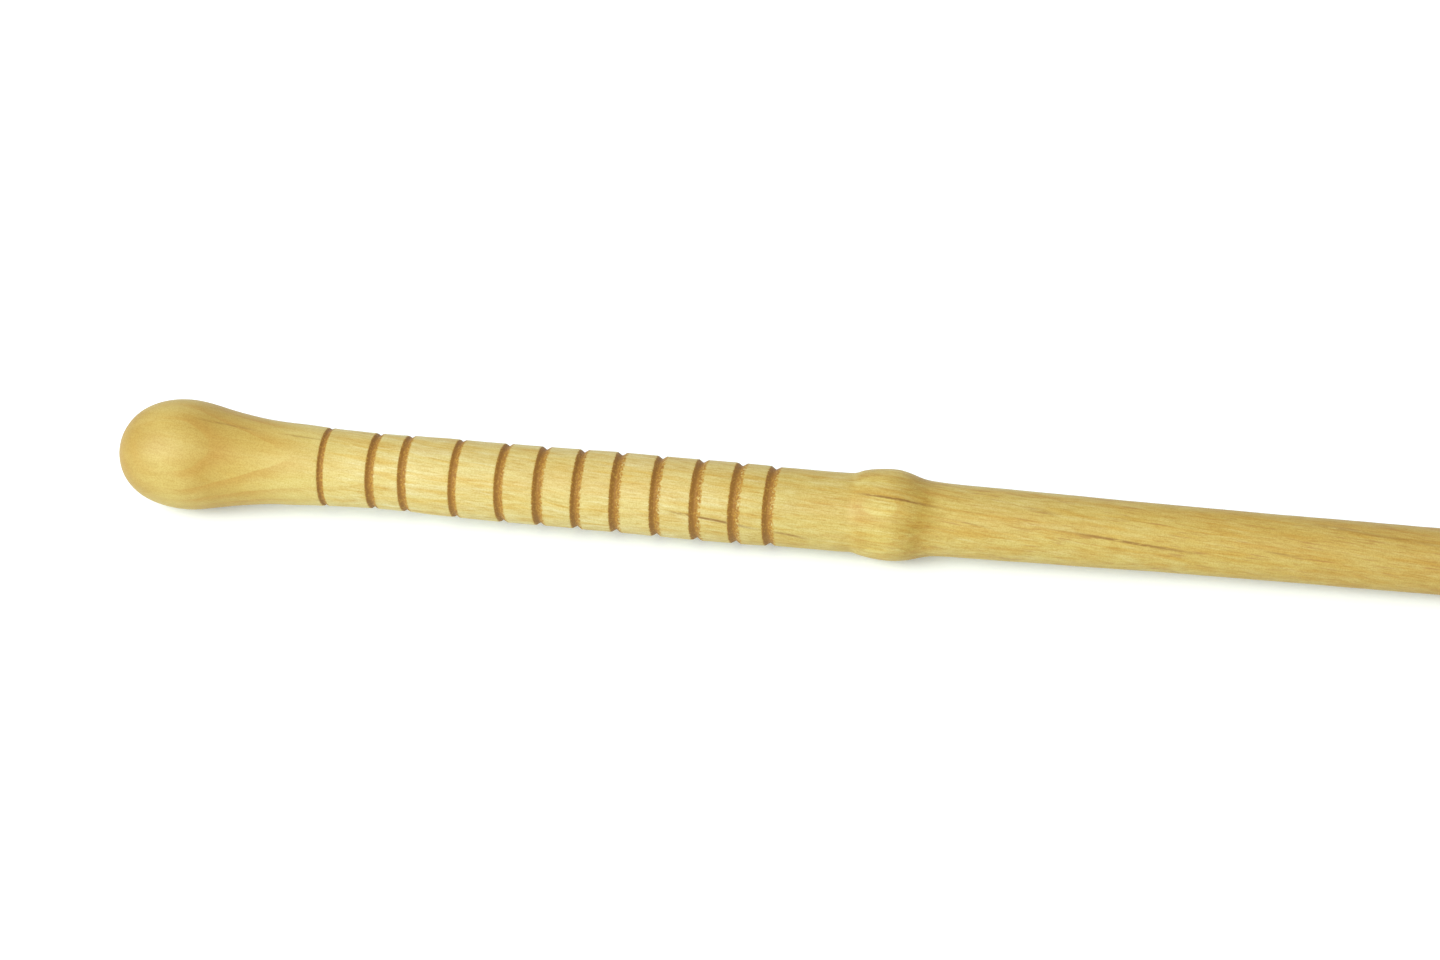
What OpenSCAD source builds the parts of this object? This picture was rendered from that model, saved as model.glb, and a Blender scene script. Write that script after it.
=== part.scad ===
// Turned wooden wand: ball pommel, waisted neck, grip with burnt ring grooves,
// plain land, collar bead and a slow taper to a rounded tip.
// It is one piece of wood, turned about X, with the ball at -X and the tip at +X.
// The origin is on the axis at the middle of the grip. Lengths along the wand
// are counted from the ball's end. Units are millimetres.

/* [Overall] */
// Length of the wand from the ball's end to the tip
wand_len = 330; // [300:1:400]
// Distance from the ball's end to the middle of the grip
grip_mid = 79.6; // [70:0.1:90]

/* [Ball] */
// Diameter of the ball at its crest
ball_d = 19.95; // [18:0.05:24]
// Distance from the ball's end to its crest
ball_crest = 12.8; // [10:0.1:14]
// Roundness of the ball's end: 2 is an ellipse, more is blunter
ball_blunt = 2.18; // [2:0.02:2.6]
// Diameter where the back of the ball turns hollow
shoulder_d = 17.85; // [17:0.05:18.8]

/* [Neck and grip] */
// Diameter half way down the hollow of the neck
flare_d = 15.4; // [15:0.1:16.5]
// Diameter at the narrowest place of the neck
waist_d = 13.55; // [12:0.05:14]
// Distance from the ball's end to the narrowest place of the neck
waist_x = 50.6; // [46:0.1:56]
// Largest diameter of the grip
grip_d = 14.4; // [14:0.05:16]
// Distance from the ball's end to the largest place of the grip
grip_x = 111.6; // [100:0.1:115]
// Diameter of the plain land between the grip and the collar
land_d = 14; // [13:0.05:15]
// Distance from the ball's end to the start of the land
land_x = 121.6; // [121.1:0.1:126]

/* [Ring grooves] */
// Distances from the ball's end to the twelve hand-spaced grooves
groove_at = [39, 48.1, 54, 63.3, 71.9, 78.7, 85.5, 92.5, 99.8, 107.2, 114.2, 120.3];
// Width of a groove at the wood's surface
groove_w = 1.4; // [0.8:0.1:2]
// Depth of a groove
groove_depth = 0.55; // [0.2:0.05:1]

/* [Collar] */
// Diameter of the collar bead at its crest
collar_d = 16.2; // [15:0.1:20]
// Distance from the ball's end to the collar's crest
collar_x = 141.4; // [140:0.1:146]
// Length of the bead on its grip side, from its foot to its crest
collar_rise = 7.1; // [6:0.1:9]
// Length of the bead on its shaft side, from its crest to its foot
collar_fall = 8; // [7:0.1:12]

/* [Shaft] */
// Diameter of the shaft where it leaves the collar
shaft_d = 12.9; // [12:0.1:14]
// Diameter of the shaft where its quick first taper ends
middle_d = 11.75; // [10:0.05:13]
// Distance from the ball's end to the end of the first taper
middle_x = 197.6; // [180:0.1:220]
// Diameter of the tip where its rounding starts
tip_d = 8.4; // [5:0.1:10]
// Length of the tip's rounding
tip_round = 4; // [2:0.1:6]

/* [Hidden] */
$fn = 96;

ball_steps = 16;     // points round the ball's front
curve_steps = 7;     // points along each stretch between two stations
tip_steps = 8;       // points round the tip
cut_clear = 1;       // how far a groove's cutter stands out of the wood

// Stations along the wand: distance from the ball's end, diameter, and how fast
// the diameter grows there. The outline runs smoothly from each to the next.
stations = [
    [ball_crest, ball_d, 0],
    [ball_crest + 6.8, shoulder_d, -0.39],
    [ball_crest + 14.8, flare_d, -0.21],
    [ball_crest + 22.8, flare_d - 0.9, -0.12],
    [waist_x, waist_d, 0],
    [waist_x + 10, waist_d + 0.45, 0.006],
    [grip_x, grip_d, 0],
    [land_x - 4, grip_d - 0.08, -0.03],
    [land_x, land_d, 0],
    [collar_x - collar_rise, land_d, 0],
    [collar_x - 0.73 * collar_rise, 0.52 * land_d + 0.48 * collar_d, 0.45],
    [collar_x, collar_d, 0],
    [collar_x + 0.55 * collar_fall, 0.485 * collar_d + 0.515 * shaft_d, -0.72],
    [collar_x + collar_fall, shaft_d + 0.22, -0.14],
    [collar_x + collar_fall + 6, shaft_d - 0.12, -0.02],
    [middle_x, middle_d, -0.012],
    [middle_x + 38, middle_d - 0.27, -0.008],
    [wand_len - tip_round, tip_d, -0.05]
];

// Point at fraction t of the smooth curve from station a to station b
function curve_point(a, b, t) =
    let (run = b[0] - a[0])
    let (d = a[1] * (2 * t ^ 3 - 3 * t ^ 2 + 1) + b[1] * (3 * t ^ 2 - 2 * t ^ 3)
           + run * (a[2] * (t ^ 3 - 2 * t ^ 2 + t) + b[2] * (t ^ 3 - t ^ 2)))
    [d / 2, a[0] + run * t];

// Number of the last station before distance x
function station_before(x) = max([for (k = [0:len(stations) - 2]) if (x >= stations[k][0]) k]);

// Radius of the wood at distance x from the ball's end, behind the ball's crest
function radius_at(x) =
    let (a = stations[station_before(x)], b = stations[station_before(x) + 1])
    curve_point(a, b, (x - a[0]) / (b[0] - a[0]))[0];

// Front of the ball, from the axis to just before the crest
ball_front = [for (k = [0:ball_steps - 1])
    let (a = 90 * k / ball_steps, p = 2 / ball_blunt)
    [ball_d / 2 * sin(a) ^ p, ball_crest * (1 - cos(a) ^ p)]];

// Back of the ball, neck, grip, collar and shaft
body_side = [for (i = [0:len(stations) - 2], k = [0:curve_steps - 1])
    curve_point(stations[i], stations[i + 1], k / curve_steps)];

// Rounded tip, back to the axis
tip_end = [for (k = [0:tip_steps])
    let (a = 90 * k / tip_steps)
    [k == tip_steps ? 0 : tip_d / 2 * cos(a), wand_len - tip_round * (1 - sin(a))]];

// The wand before its grooves are cut
module turned_blank() {
    rotate_extrude()
        polygon(concat(ball_front, body_side, tip_end));
}

// Cutter for one ring groove of V section at distance x
module groove_cutter(x) {
    r = radius_at(x);
    half = groove_w / 2 * (groove_depth + cut_clear) / groove_depth;
    rotate_extrude()
        polygon([[r - groove_depth, x], [r + cut_clear, x - half], [r + cut_clear, x + half]]);
}

module turned_wand() {
    color("burlywood")
        rotate([0, 90, 0])
            translate([0, 0, -grip_mid])
                difference() {
                    turned_blank();
                    for (x = groove_at) groove_cutter(x);
                }
}

turned_wand();
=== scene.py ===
# Turned wooden wand: a lathe-turned stick with a ball, a grooved grip, a collar and a tapered shaft.
# Metres throughout, with the stick along X, the ball at -X and the tip at +X.
import math

import bmesh
import bpy
from mathutils import Matrix, Vector


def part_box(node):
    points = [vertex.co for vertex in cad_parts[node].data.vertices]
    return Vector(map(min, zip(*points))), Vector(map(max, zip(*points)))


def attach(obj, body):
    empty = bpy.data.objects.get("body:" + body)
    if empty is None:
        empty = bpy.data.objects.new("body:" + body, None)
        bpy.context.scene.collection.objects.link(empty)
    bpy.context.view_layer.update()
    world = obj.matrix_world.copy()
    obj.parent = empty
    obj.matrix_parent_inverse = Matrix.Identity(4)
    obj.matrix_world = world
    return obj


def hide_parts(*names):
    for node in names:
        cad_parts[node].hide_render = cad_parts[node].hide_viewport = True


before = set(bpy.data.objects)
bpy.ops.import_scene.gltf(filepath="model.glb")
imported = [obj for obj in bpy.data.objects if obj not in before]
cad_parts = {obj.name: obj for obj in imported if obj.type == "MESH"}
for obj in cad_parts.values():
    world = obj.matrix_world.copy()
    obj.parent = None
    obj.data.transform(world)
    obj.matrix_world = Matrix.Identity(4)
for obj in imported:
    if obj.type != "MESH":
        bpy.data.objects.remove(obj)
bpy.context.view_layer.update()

scene = bpy.context.scene
mm = 0.001

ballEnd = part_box("turned_wand")[0].x
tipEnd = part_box("turned_wand")[1].x

# The turner's shape, in mm. Distances are counted from the ball's end.
shape = {
    "ballCrest": 12.8,
    "ballDiameter": 19.95,
    "ballBlunt": 2.18,       # 2 is an ellipse, more is blunter
    "shoulder": 17.85,
    "flare": 15.4,
    "waist": 13.55,
    "waistAt": 50.6,
    "grip": 14.4,
    "gripAt": 111.6,
    "land": 14,
    "landAt": 121.6,
    "collar": 16.2,
    "collarAt": 141.4,
    "collarRise": 7.1,
    "collarFall": 8,
    "shaft": 12.9,
    "middle": 11.75,
    "middleAt": 197.6,
    "tip": 8.4,
    "tipRound": 4,
    "roll": 50,              # degrees from crown up to how the wand lies
}

# How finely the outline is drawn, in mm between points unless noted
points = {
    "round": 176,            # steps round the wand
    "ballSteps": 25,         # round the front of the ball
    "tipSteps": 10,          # round the tip
    "collarGap": 0.62,
    "gripGap": 0.85,
    "shaftGap": 1.35,
    "grooveRims": [-1.3, -1.08, -0.98, -0.88, -0.7, -0.4, -0.1, 0.12, 0.4, 0.7, 0.88, 0.98, 1.08, 1.35, 1.7],
}

# Ring grooves: distance, width and depth in mm, then how the cut leans, in degrees about Z and Y
grooves = [
    (39.0, 1.1, 0.36, 0.5, 0.0),
    (48.1, 1.45, 0.48, 0.0, -0.5),
    (54.0, 1.45, 0.42, 0.9, -0.3),
    (63.3, 1.35, 0.4, -0.3, -0.2),
    (71.9, 1.5, 0.5, 0.0, -1.8),
    (78.7, 1.7, 0.58, -0.2, 0.7),
    (85.5, 1.6, 0.58, -0.9, 1.9),
    (92.5, 1.75, 0.58, 0.0, 2.1),
    (99.8, 1.65, 0.55, 0.2, 1.0),
    (107.2, 1.8, 0.58, -0.1, -0.6),
    (114.2, 1.8, 0.58, -0.4, -0.9),
    (120.3, 1.8, 0.56, 0.1, -1.2),
]


def clearSelection():
    if bpy.context.object and bpy.context.object.mode != "OBJECT":
        bpy.ops.object.mode_set(mode="OBJECT")
    bpy.ops.object.select_all(action="DESELECT")


def selectBetween(piece, low, high, wanted=lambda co: True):
    # edit mode, with the points between two distances from the ball's end selected, in mm
    if piece.mode != "EDIT":
        bpy.ops.object.mode_set(mode="EDIT")
    bpy.ops.mesh.select_all(action="DESELECT")
    shell = bmesh.from_edit_mesh(piece.data)
    for point in shell.verts:
        if low <= (point.co.x - ballEnd) / mm <= high and wanted(point.co):
            point.select_set(True)
    shell.select_flush_mode()


def stations():
    # distance, diameter and how fast the diameter grows there
    s = shape
    length = (tipEnd - ballEnd) / mm
    return [
        (s["ballCrest"], s["ballDiameter"], 0),
        (s["ballCrest"] + 6.8, s["shoulder"], -0.39),
        (s["ballCrest"] + 14.8, s["flare"], -0.21),
        (s["ballCrest"] + 22.8, s["flare"] - 0.9, -0.12),
        (s["waistAt"], s["waist"], 0),
        (s["waistAt"] + 10, s["waist"] + 0.45, 0.006),
        (s["gripAt"], s["grip"], 0),
        (s["landAt"] - 4, s["grip"] - 0.08, -0.03),
        (s["landAt"], s["land"], 0),
        (s["collarAt"] - s["collarRise"], s["land"], 0),
        (s["collarAt"] - 0.73 * s["collarRise"], 0.52 * s["land"] + 0.48 * s["collar"], 0.45),
        (s["collarAt"], s["collar"], 0),
        (s["collarAt"] + 0.55 * s["collarFall"], 0.485 * s["collar"] + 0.515 * s["shaft"], -0.72),
        (s["collarAt"] + s["collarFall"], s["shaft"] + 0.22, -0.14),
        (s["collarAt"] + s["collarFall"] + 6, s["shaft"] - 0.12, -0.02),
        (s["middleAt"], s["middle"], -0.012),
        (s["middleAt"] + 38, s["middle"] - 0.27, -0.008),
        (length - s["tipRound"], s["tip"], -0.05),
    ]


def woodRadius(at, marks):
    # radius before the grooves are cut, in mm
    blunt = shape["ballBlunt"]
    if at <= marks[0][0]:
        return marks[0][1] / 2 * max(0, 1 - (1 - at / marks[0][0]) ** blunt) ** (1 / blunt)
    if at >= marks[-1][0]:
        past = min(1, (at - marks[-1][0]) / shape["tipRound"])
        return marks[-1][1] / 2 * math.sqrt(1 - past * past)
    for a, b in zip(marks, marks[1:]):
        if at <= b[0]:
            run = b[0] - a[0]
            t = (at - a[0]) / run
            ends = a[1] * (2 * t ** 3 - 3 * t ** 2 + 1) + b[1] * (3 * t ** 2 - 2 * t ** 3)
            slopes = a[2] * (t ** 3 - 2 * t ** 2 + t) + b[2] * (t ** 3 - t ** 2)
            return (ends + run * slopes) / 2


def grooveDepth(at):
    # depth of the V cut here in mm, with softly broken rims and a faint raised burr outside them
    soft = 0.07
    burr = 0.004
    for centre, width, depth, *lean in grooves:
        away = abs(at - centre) / (width / 2)
        if away < 1.25:
            cut = depth * (1 - away)
            return (cut + math.sqrt(cut * cut + soft * soft)) / 2 - (burr if away > 1 else 0)
    return 0


def outline():
    # (distance, radius) pairs from the ball's end to the tip, closest together where the shape turns fast
    marks = stations()
    at = shape["ballCrest"]
    tipStart = marks[-1][0]
    places = []
    for step in range(points["ballSteps"]):
        places.append(at * (1 - math.cos(math.radians(step * 90 / points["ballSteps"]))))
    while at < tipStart:
        places.append(at)
        if abs(at - shape["collarAt"]) < 10:
            at += points["collarGap"]
        else:
            at += points["gripGap"] if at < shape["landAt"] else points["shaftGap"]
    for centre, width, *rest in grooves:
        places = [p for p in places if abs(p - centre) > 0.95 * width]
        places += [centre + width / 2 * r for r in points["grooveRims"]]
    for step in range(points["tipSteps"] + 1):
        places.append(tipStart + shape["tipRound"] * math.sin(math.radians(step * 90 / points["tipSteps"])))
    places = sorted(set(round(p, 4) for p in places))
    return [(p, woodRadius(p, marks) - grooveDepth(p)) for p in places]


def turnWand():
    # the profile is drawn point by point from the ball's end and spun round X
    clearSelection()
    profile = outline()
    bpy.ops.mesh.primitive_plane_add(size=mm)
    wand = bpy.context.object
    wand.name = "wand"
    bpy.ops.object.mode_set(mode="EDIT")
    bpy.ops.mesh.select_all(action="SELECT")
    bpy.ops.mesh.merge(type="CENTER")
    bpy.ops.transform.translate(value=(ballEnd, 0, 0))
    for (x0, r0), (x1, r1) in zip(profile, profile[1:]):
        step = ((x1 - x0) * mm, 0, (r1 - r0) * mm)
        bpy.ops.mesh.extrude_vertices_move(TRANSFORM_OT_translate={"value": step})
    bpy.ops.mesh.select_all(action="SELECT")
    bpy.ops.mesh.spin(steps=points["round"], angle=math.tau, center=(0, 0, 0), axis=(1, 0, 0))
    bpy.ops.mesh.select_all(action="SELECT")
    bpy.ops.mesh.remove_doubles(threshold=0.002 * mm)
    bpy.ops.mesh.normals_make_consistent(inside=False)
    bpy.ops.object.mode_set(mode="OBJECT")
    print("wand turned:", len(wand.data.vertices), "vertices")
    return wand


# How far the scorching and the painted shade on the groove walls reach from a groove's middle
burningAndShade = {
    "nearReach": 0.58,       # on the ball's side, as a share of the groove's width
    "nearFade": 0.28,        # mm over which it fades there
    "farReach": 0.72,        # on the other side, as a share of the groove's width
    "farExtra": 0.14,        # and this many mm more
    "farFade": 0.35,
    # painted light: the far wall faces the key light, so it pales
    "farPaler": 0.3,         # how much paler each mm of the far wall is
}


def markBurnAndShade(wand):
    # how burnt the wood is, with painted shade: full on a groove's ball-side wall, which faces away from the
    # key light, fading over its other wall, which faces it
    b = burningAndShade
    burn = wand.data.attributes.new("burn", "FLOAT", "POINT")
    values = []
    for vertex in wand.data.vertices:
        at = (vertex.co.x - ballEnd) / mm
        value = 0
        for centre, width, *rest in grooves:
            away = at - centre
            if abs(away) < width:
                near = (b["nearReach"] * width + away) / b["nearFade"]
                far = (b["farReach"] * width + b["farExtra"] - away) / b["farFade"]
                # painted shade and light: the ball-side wall stays fully dark, the lit far wall pales
                full = 1 if away < 0 else 1 - b["farPaler"] * away
                value = full * min(1, max(0, near if away < 0 else far))
        values.append(value)
    burn.data.foreach_set("value", values)


# No cut made by hand is quite square. Slants: from and to, how far to the side of the crown a point has to
# be, how far it moves along the wand and how far the move fades out. Bends: from, to, move sideways and its
# fade. All in mm from the ball's end.
handwork = {
    "grooveFade": 2.2,
    "slants": [
        (shape["collarAt"] - 4, shape["collarAt"] + 4, 0.36 * shape["collar"], 0.18, 6),
        (shape["collarAt"] + 2.6, shape["collarAt"] + 6.4, 0.36 * shape["collar"], 0.3, 2.6),
        (shape["ballCrest"] - 1, shape["ballCrest"] + 8, 0.36 * shape["ballDiameter"], 0.32, 8),
    ],
    "bends": [
        (4, shape["ballCrest"] + 2, 0.3, 16),
        (36, 48, 0.18, 26),
        (114, 130, -0.14, 26),
        (137, 144, 0.13, 5),
    ],
    "sanding": (7, 0.12),     # size and height of the lumps that sanding leaves
    "chipping": (0.5, 0.16),  # size and height of the chips along the grooves' rims
    "rimReach": 0.5,          # how far from a groove's rim the chips reach
}


def leanRings(at, aroundZ, aroundY):
    # the edit-mode turn runs backwards with no window, so the angles change sign
    for axis, degrees in (("Z", aroundZ), ("Y", aroundY)):
        if degrees:
            bpy.ops.transform.rotate(
                value=-math.radians(degrees), orient_axis=axis, orient_type="GLOBAL",
                center_override=(ballEnd + at * mm, 0, 0), use_proportional_edit=True,
                proportional_edit_falloff="SMOOTH", proportional_size=handwork["grooveFade"] * mm)


def push(along, sideways, fade):
    bpy.ops.transform.translate(
        value=(along * mm, sideways * mm, 0), use_proportional_edit=True,
        proportional_edit_falloff="SMOOTH", proportional_size=fade * mm)


def cutByHand(wand):
    for centre, width, depth, leanZ, leanY in grooves:
        selectBetween(wand, centre - 0.65 * width, centre + 0.65 * width)
        leanRings(centre, leanZ, leanY)
    for low, high, side, amount, fade in handwork["slants"]:
        # the +Y side moves towards the ball and the -Y side towards the tip
        for sign in (1, -1):
            selectBetween(wand, low, high, lambda co: co.y * sign > side * mm)
            push(-amount * sign, 0, fade)
    for low, high, sideways, fade in handwork["bends"]:
        selectBetween(wand, low, high)
        push(0, sideways, fade)
    bpy.ops.object.mode_set(mode="OBJECT")


def rollWand(wand):
    # from crown up to how it lies
    selectBetween(wand, -1, (tipEnd - ballEnd) / mm + 1)
    bpy.ops.transform.rotate(value=-math.radians(shape["roll"]), orient_axis="X", orient_type="GLOBAL",
                             center_override=(0, 0, 0))
    bpy.ops.mesh.select_all(action="DESELECT")
    bpy.ops.object.mode_set(mode="OBJECT")


def markRims(wand):
    reach = handwork["rimReach"]
    rims = wand.vertex_groups.new(name="rims")
    for vertex in wand.data.vertices:
        at = (vertex.co.x - ballEnd) / mm
        near = min(abs(abs(at - centre) - width / 2) for centre, width, *rest in grooves)
        if near < reach:
            rims.add([vertex.index], 1 - near / reach, "REPLACE")


def roughen(wand, name, size, height, group=""):
    texture = bpy.data.textures.new(name, "CLOUDS")
    texture.noise_scale = size * mm
    texture.noise_depth = 1
    lumps = wand.modifiers.new(name, "DISPLACE")
    lumps.texture = texture
    lumps.texture_coords = "LOCAL"
    lumps.mid_level = 0.5
    lumps.strength = height * mm
    lumps.vertex_group = group
    bpy.ops.object.modifier_apply(modifier=name)


def makeWand():
    wand = turnWand()
    markBurnAndShade(wand)
    cutByHand(wand)
    rollWand(wand)
    markRims(wand)
    roughen(wand, "handSanded", *handwork["sanding"])
    roughen(wand, "chippedRims", *handwork["chipping"], "rims")
    bpy.ops.object.shade_smooth()
    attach(wand, "root")
    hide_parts("turned_wand")
    return wand


class Wire:
    # one value in a node tree, so that sums can be written as sums
    def __init__(self, sheet, socket):
        self.sheet = sheet
        self.socket = socket

    def math(self, operation, *values):
        return self.sheet.add("ShaderNodeMath", {"operation": operation}, dict(enumerate(values)))

    def __add__(self, other):
        return self.math("ADD", self, other)

    def __radd__(self, other):
        return self.math("ADD", other, self)

    def __sub__(self, other):
        return self.math("SUBTRACT", self, other)

    def __rsub__(self, other):
        return self.math("SUBTRACT", other, self)

    def __mul__(self, other):
        return self.math("MULTIPLY", self, other)

    def __rmul__(self, other):
        return self.math("MULTIPLY", other, self)

    def __truediv__(self, other):
        return self.math("DIVIDE", self, other)

    def distance(self, other):
        return self.math("ABSOLUTE", self - other)

    def fraction(self):
        return self.math("FRACT", self)

    def ease(self, low, high):
        # 0 below low, 1 above high and smooth between, or falling if low is above high
        rising = low < high
        edges = {1: low, 2: high, 3: 0, 4: 1} if rising else {1: high, 2: low, 3: 1, 4: 0}
        return self.sheet.add("ShaderNodeMapRange", {"interpolation_type": "SMOOTHSTEP"}, {0: self, **edges})


class Sheet:
    # one material's node tree
    def __init__(self, name):
        self.material = bpy.data.materials.new(name)
        self.material.use_nodes = True
        self.tree = self.material.node_tree
        self.tree.nodes.clear()

    def add(self, kind, settings, inputs, output=0):
        node = self.tree.nodes.new(kind)
        for name, value in settings.items():
            if name == "stops":
                for place, colour in value[1:-1]:
                    node.color_ramp.elements.new(place)
                for element, (place, colour) in zip(node.color_ramp.elements, value):
                    element.position = place
                    element.color = (*colour, 1)
            else:
                setattr(node, name, value)
        for place, value in inputs.items():
            if isinstance(value, Wire):
                self.tree.links.new(value.socket, node.inputs[place])
            else:
                node.inputs[place].default_value = value
        return Wire(self, node.outputs[output]) if node.outputs else None

    def mix(self, share, one, other, how="MIX"):
        # colours go through here: share is how much of the other colour comes in
        one = one if isinstance(one, Wire) else (*one, 1)
        other = other if isinstance(other, Wire) else (*other, 1)
        colours = {0: share, 6: one, 7: other}
        return self.add("ShaderNodeMix", {"data_type": "RGBA", "blend_type": how}, colours, 2)

    def tint(self, share, colour, tone):
        return self.mix(share, colour, tone, "MULTIPLY")

    def noise(self, place, detail, roughness):
        looks = {"Vector": place, "Scale": 1.0, "Detail": detail, "Roughness": roughness}
        return self.add("ShaderNodeTexNoise", {}, looks)

    def close(self, looks):
        shader = self.add("ShaderNodeBsdfPrincipled", {}, looks)
        self.add("ShaderNodeOutputMaterial", {}, {"Surface": shader})
        return self.material


wood = {
    # distance from the ball's end in mm and the colour there: the wood's own colour, with painted shade in
    # the darker stops at the ball's back and the collar's right foot
    "tonesAndShade": [
        (3, (0.361, 0.246, 0.041)),
        (10.6, (0.463, 0.361, 0.096)),
        (15, (0.448, 0.332, 0.079)),
        # painted shade: darker where the ball's back turns away from the key light
        (19, (0.404, 0.278, 0.051)),
        (26, (0.457, 0.337, 0.076)),
        (35, (0.512, 0.422, 0.130)),
        (43, (0.546, 0.471, 0.180)),
        (60, (0.556, 0.494, 0.213)),
        (75, (0.541, 0.471, 0.186)),
        (101, (0.541, 0.464, 0.187)),
        (123, (0.487, 0.410, 0.132)),
        (133, (0.492, 0.402, 0.123)),
        (135.2, (0.452, 0.349, 0.087)),
        (138.5, (0.507, 0.429, 0.128)),
        (141, (0.512, 0.421, 0.120)),
        # partly orange wood at the collar's foot, partly painted shade where its right side faces away from
        # the key light
        (146.2, (0.376, 0.267, 0.042)),
        (149.6, (0.481, 0.380, 0.102)),
        (154, (0.486, 0.396, 0.119)),
        (199, (0.455, 0.352, 0.086)),
        (235, (0.420, 0.306, 0.070)),
    ],
    "toneDrift": 14,         # mm that the tones wander along the wand
    "ring": (0.40, 0.235, 0.036),
    "fleck": (0.29, 0.15, 0.028),
    "streak": (0.19, 0.088, 0.008),
    "burnt": (0.36, 0.197, 0.022),
    "charred": (0.232, 0.104, 0.0085),
    "runOut": 5.5,           # degrees the fibres run down across the crown
    "climb": 3.7,            # degrees the fibres rise out of the crown towards the tip
    "dive": 2.7,             # degrees the growth layers rise towards the tip
    "turned": -10,           # degrees the growth layers are turned round the wand from its crown
    "sway": 0.7,             # mm that fibres and layers sway
    "ringPitch": 2.344,      # mm between growth layers
    "ringStart": 4.97,
}

# Dark mineral streaks: side position, its growth per mm of length, from and to along the fibres, half width,
# all in mm, and strength
streaks = [
    (8.85, 0.022, 89, 120, 0.18, 0.85),
    (8.38, 0.02, 54, 73, 0.19, 0.9),
    (-1.1, 0, 21, 42, 0.17, 0.9),
    (-0.95, 0.02, 40, 50, 0.14, 0.65),
    (18.15, 0.01, 128, 164, 0.26, 0.4),
    (-1.02, 0.02, -65, -50, 0.16, 0.4),
    (-0.5, 0.04, -50, -38, 0.14, 0.4),
    (11.8, 0.04, 126, 134, 0.14, 0.5),
    (11.2, -0.03, 84, 92, 0.3, 0.35),
    (6.7, -0.02, 73, 81, 0.12, 0.4),
]


def woodFrame():
    # directions of the fibres, of the growth layers' outer side and across them, as the wand lies
    def slope(name):
        return math.tan(math.radians(wood[name]))

    roll = Matrix.Rotation(math.radians(shape["roll"]), 3, "X")
    turned = Matrix.Rotation(math.radians(wood["turned"]), 3, "X")
    fibre = (roll @ Vector((1, -slope("runOut"), slope("climb")))).normalized()
    outer = roll @ turned @ Vector((-slope("dive"), 0, 1))
    outer = (outer - outer.dot(fibre) * fibre).normalized()
    return fibre, outer, outer.cross(fibre)


class WoodSheet(Sheet):
    # the wood's places and grain, all in mm
    def __init__(self, name):
        super().__init__(name)
        fibre, outer, across = woodFrame()
        metres = self.add("ShaderNodeTexCoord", {}, {}, "Object")
        self.here = self.add("ShaderNodeVectorMath", {"operation": "SCALE"}, {0: metres, "Scale": 1 / mm})
        self.along = self.reading(fibre)
        self.sideways = self.reading(across)
        self.depth = self.reading(outer)
        self.fromBall = self.reading((1, 0, 0)) - ballEnd / mm
        self.sway = (self.even(0.06, 3) - 0.5) * wood["sway"]
        self.bead = self.fromBall.ease(134, 138) * self.fromBall.ease(153, 148)
        self.smooth = self.fromBall.ease(48, 30)      # the ball and neck, where the grain shows least

    def reading(self, direction):
        # how far along a direction the point lies
        ends = {0: self.here, 1: direction}
        return self.add("ShaderNodeVectorMath", {"operation": "DOT_PRODUCT"}, ends, 1)

    def even(self, cells, shift):
        # noise that is as long as it is wide
        place = self.add("ShaderNodeVectorMath", {"operation": "MULTIPLY_ADD"}, {
            0: self.here, 1: (cells, cells, cells), 2: (shift, shift, shift)})
        return self.noise(place, 2.0, 0.6)

    def grain(self, long, side, deep, shift, detail, roughness):
        # how many noise cells a mm holds along the fibres, across them and through the layers
        place = self.add("ShaderNodeCombineXYZ", {}, {
            0: self.along * long + shift,
            1: (self.sideways + self.sway - self.along * 0.035) * side,
            2: (self.depth + self.sway) * deep})
        return self.noise(place, detail, roughness)


def woodToneAndShade(s):
    # the wood's own colour, from the pale grip to the amber shaft, drifting a little, with painted shade at
    # the ball's back and the collar's right foot
    length = (tipEnd - ballEnd) / mm
    drift = s.grain(0.04, 0.16, 0.16, 40, 2.0, 0.55)
    stops = [(at / length, tone) for at, tone in wood["tonesAndShade"]]
    at = (s.fromBall + (drift - 0.5) * wood["toneDrift"]) / length
    return s.add("ShaderNodeValToRGB", {"stops": stops}, {0: at})


def growthLayers(s, colour):
    # a slow warp that settles at the bead, then a soft darkening that ends sharply at each winter; on the
    # ball's back it is made stronger, partly as painted shade
    warp = (s.grain(0.03, 0.11, 0.11, 0.0, 2.0, 0.5) - 0.5) * 0.5 * (1.0 - s.bead * 0.9)
    waver = (s.even(0.3, 29) - 0.5) * 0.25 * (1.0 - s.bead * 0.5)
    layers = (s.depth + warp + waver - s.bead * 0.08 - wood["ringStart"]) / wood["ringPitch"]
    season = layers.fraction()
    uneven = s.grain(0.05, 0.2, 0.7, 93, 1.0, 0.5).ease(0.25, 0.55) * 0.6 + 0.4
    winter = season.ease(0.3, 0.96) * season.ease(1.0, 0.96) * uneven
    # painted shade: the extra ring darkening here also shades the ball's back, which faces away from the key
    # light
    ballBackRingsAndShade = s.fromBall.ease(11, 17) * s.fromBall.ease(40, 24)
    return s.mix(winter * (0.18 + ballBackRingsAndShade * 0.44 + s.bead * 0.2), colour, wood["ring"])


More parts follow.
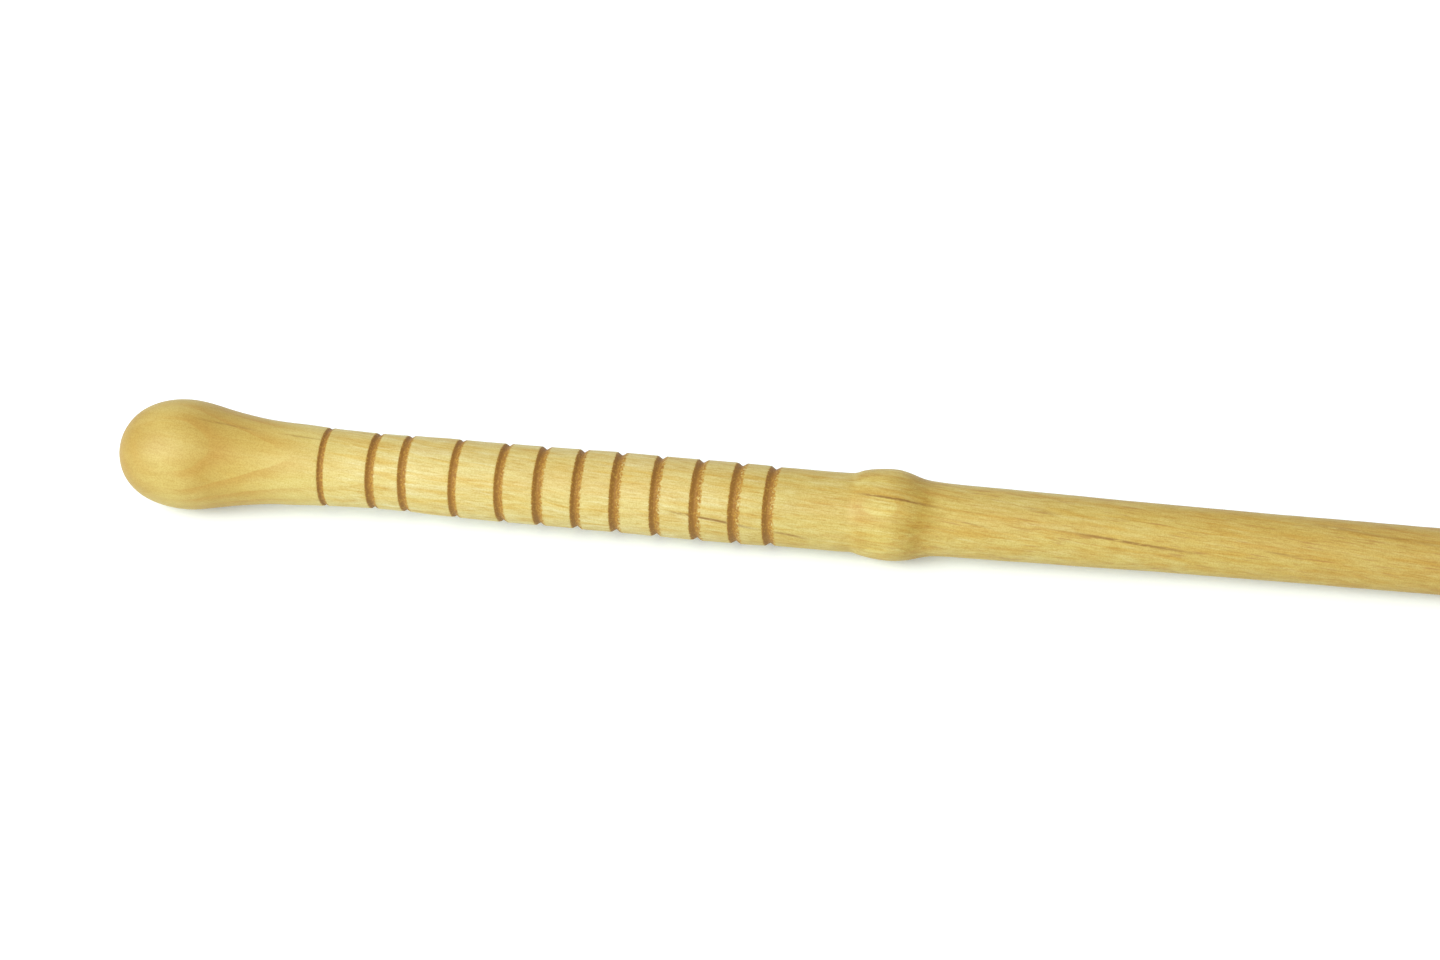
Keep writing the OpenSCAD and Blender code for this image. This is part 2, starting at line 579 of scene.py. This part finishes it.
def broadGrain(s, colour, bands):
    # soft patches, broad dark streaks, then pale blotches that are partly paler wood and partly a painted
    # sheen highlight
    patches = s.grain(0.11, 0.4, 0.4, 71, 2.0, 0.55)
    colour = s.tint(patches.ease(0.4, 0.72) * (0.8 - s.smooth * 0.35), colour, (0.95, 0.875, 0.68))
    colour = s.tint(bands.ease(0.42, 0.72) * (1.0 - s.smooth * 0.78), colour, (0.94, 0.81, 0.52))
    # painted highlight: whitish blotches standing in for the sheen on the crown, partly paler wood
    light = s.grain(0.1, 1.3, 0.65, 87, 3.0, 0.6)
    return s.tint(light.ease(0.45, 0.72) * (1.0 - s.smooth * 0.75), colour, (1.05, 1.11, 1.42))


def fineGrain(s, colour, fibres):
    # fine fibres, a few dark hairs among them, a faint cross mottle and short orange-brown flecks
    colour = s.tint(fibres.ease(0.36, 0.66) * (1.0 - s.smooth * 0.5), colour, (0.895, 0.84, 0.69))
    hairs = s.grain(0.27, 4.0, 2.0, 47, 2.0, 0.55)
    colour = s.tint(hairs.ease(0.57, 0.68) * (0.75 - s.smooth * 0.6), colour, (0.85, 0.74, 0.5))
    pores = s.mix(s.even(4.0, 17).ease(0.38, 0.66), (1.02, 1.03, 1.06), (0.89, 0.845, 0.72))
    colour = s.tint(1.0, colour, pores)
    dashes = s.grain(0.14, 2.6, 1.2, 61, 3.0, 0.6)
    crowd = s.fromBall.ease(118, 175) * 0.55 + 0.12    # thicker on the shaft
    return s.mix(dashes.ease(0.56, 0.7) * crowd, colour, wood["fleck"])


def mineralStreaks(s, colour):
    # each is a thin sheet in the wood that shows where the crown cuts it
    crownSide = s.depth.ease(-7, -1)
    wobble = (s.grain(0.12, 0.3, 0.3, 5, 2.0, 0.5) - 0.5) * 0.35
    for place, growth, start, end, halfWidth, strength in streaks:
        run = end - start
        middle = place + (s.along - (start + end) / 2) * growth
        line = (s.sideways + wobble).distance(middle).ease(halfWidth * 1.9, halfWidth * 0.2)
        reach = s.along.ease(start, start + 0.35 * run) * s.along.ease(end, end - 0.45 * run)
        broken = s.grain(0.5, 3, 3, place * 9, 2.0, 0.5).ease(0.3, 0.5)
        colour = s.mix(line * reach * broken * crownSide * strength, colour, wood["streak"])
    return colour


def scorchingAndShade(s, burn, mottle):
    # ragged edges where the heat ran along the fibres, and spots that it missed on the paler wall, whose
    # paleness is partly painted light
    ragged = (s.grain(0.7, 3.6, 3.6, 31, 2.0, 0.6) - 0.5) * 0.45 * burn.ease(0.0, 0.15)
    patchy = s.fromBall.ease(60, 115) * 2.2 + 1.0
    paler = burn.ease(0.05, 0.5) * burn.ease(1.1, 0.7)
    return (burn + ragged + (mottle - 0.5) * patchy * paler).ease(0.1, 0.8)


def oiledWood():
    s = WoodSheet("oiledWood")
    bands = s.grain(0.08, 1.2, 0.6, 11, 3.0, 0.6)
    fibres = s.grain(0.3, 3.4, 1.7, 23, 4.0, 0.68)
    colour = growthLayers(s, woodToneAndShade(s))
    colour = broadGrain(s, colour, bands)
    colour = fineGrain(s, colour, fibres)
    colour = mineralStreaks(s, colour)
    burn = s.add("ShaderNodeAttribute", {"attribute_name": "burn"}, {}, "Fac")
    mottle = s.even(2.2, 0)
    # the scorch mask also holds painted shade on each groove's ball-side wall and painted light on its far
    # wall
    scorchAndShade = scorchingAndShade(s, burn, mottle)
    char = (s.even(2.6, 7) + burn * 0.5).ease(0.75, 1.0)
    colour = s.mix(scorchAndShade, colour, s.mix(char, wood["burnt"], wood["charred"]))
    relief = fibres * -0.5 + bands * -0.15 + mottle * scorchAndShade * 0.6
    return s.close({
        "Base Color": colour,
        "Roughness": 0.52 + (fibres - 0.5) * 0.16 + scorchAndShade * 0.16,
        "Normal": s.add("ShaderNodeBump", {}, {"Strength": 0.35, "Distance": 0.06 * mm, "Height": relief}),
        "IOR": 1.48,
        "Specular IOR Level": 0.45})


board = {
    "size": 6,               # metres
    "white": (0.80, 0.86, 0.88, 1),
    "roughness": 0.7,
    "specular": 0.2,
    "glow": (0.9, 1, 1, 1),
    "glowStrength": 0.2,
}


def layFloor(wand):
    # the wand rests on its ball and its collar, so the floor touches both
    def foot(low, high):
        near = [v.co for v in wand.data.vertices if low <= (v.co.x - ballEnd) / mm <= high]
        return min(near, key=lambda co: co.z)

    ballFoot = foot(0, 25)
    collarFoot = foot(shape["collarAt"] - 8, shape["collarAt"] + 8)
    slope = math.atan2(collarFoot.z - ballFoot.z, collarFoot.x - ballFoot.x)
    clearSelection()
    bpy.ops.mesh.primitive_plane_add(size=board["size"], location=ballFoot, rotation=(0, -slope, 0))
    floor = bpy.context.object
    floor.name = "floor"
    bpy.ops.object.transform_apply(location=True, rotation=True, scale=True)
    floor.data.materials.append(Sheet("whiteBoard").close({
        "Base Color": board["white"],
        "Roughness": board["roughness"],
        "Specular IOR Level": board["specular"],
        "Emission Color": board["glow"],
        "Emission Strength": board["glowStrength"]}))


studio = {
    "sky": 0.92,
    "key": (-0.85, -0.9, 0.92),      # where the big soft light hangs
    "keySize": 1.0,
    "keyPower": 23,
}


def lightStudio():
    world = bpy.data.worlds.new("paleRoom")
    scene.world = world
    world.use_nodes = True
    sky = world.node_tree.nodes["Background"].inputs
    sky["Color"].default_value = (1, 1, 1, 1)
    sky["Strength"].default_value = studio["sky"]
    lamp = bpy.data.lights.new("keyLight", "AREA")
    lamp.shape = "SQUARE"
    lamp.size = studio["keySize"]
    lamp.energy = studio["keyPower"]
    key = bpy.data.objects.new("keyLight", lamp)
    scene.collection.objects.link(key)
    key.location = studio["key"]
    key.rotation_euler = (-Vector(studio["key"])).to_track_quat("-Z", "Y").to_euler()


view = {
    "lens": 90,
    "sensor": 36,
    "azimuth": 11.64,        # degrees round from straight in front, towards the tip
    "elevation": 39.94,
    "roll": -2.76,
    "distance": 0.639,
    "aim": 31.06,            # mm along the axis from the grip's middle
    "lift": 3.7,             # mm that the aim stands above the axis
}


def placeCamera():
    turn = (Matrix.Rotation(math.radians(view["azimuth"]), 3, "Z")
            @ Matrix.Rotation(math.radians(90 - view["elevation"]), 3, "X")
            @ Matrix.Rotation(math.radians(view["roll"]), 3, "Z"))
    aim = Vector((view["aim"] * mm, 0, 0)) + turn @ Vector((0, view["lift"] * mm, 0))
    lens = bpy.data.cameras.new("camera")
    lens.lens = view["lens"]
    lens.sensor_width = view["sensor"]
    lens.clip_start = 0.01
    camera = bpy.data.objects.new("camera", lens)
    scene.collection.objects.link(camera)
    camera.matrix_world = Matrix.Translation(aim + turn @ Vector((0, 0, view["distance"]))) @ turn.to_4x4()
    scene.camera = camera


wand = makeWand()
wand.data.materials.append(oiledWood())
print("wood finished")
layFloor(wand)
lightStudio()
placeCamera()
scene.view_settings.view_transform = "Standard"
print("studio set")
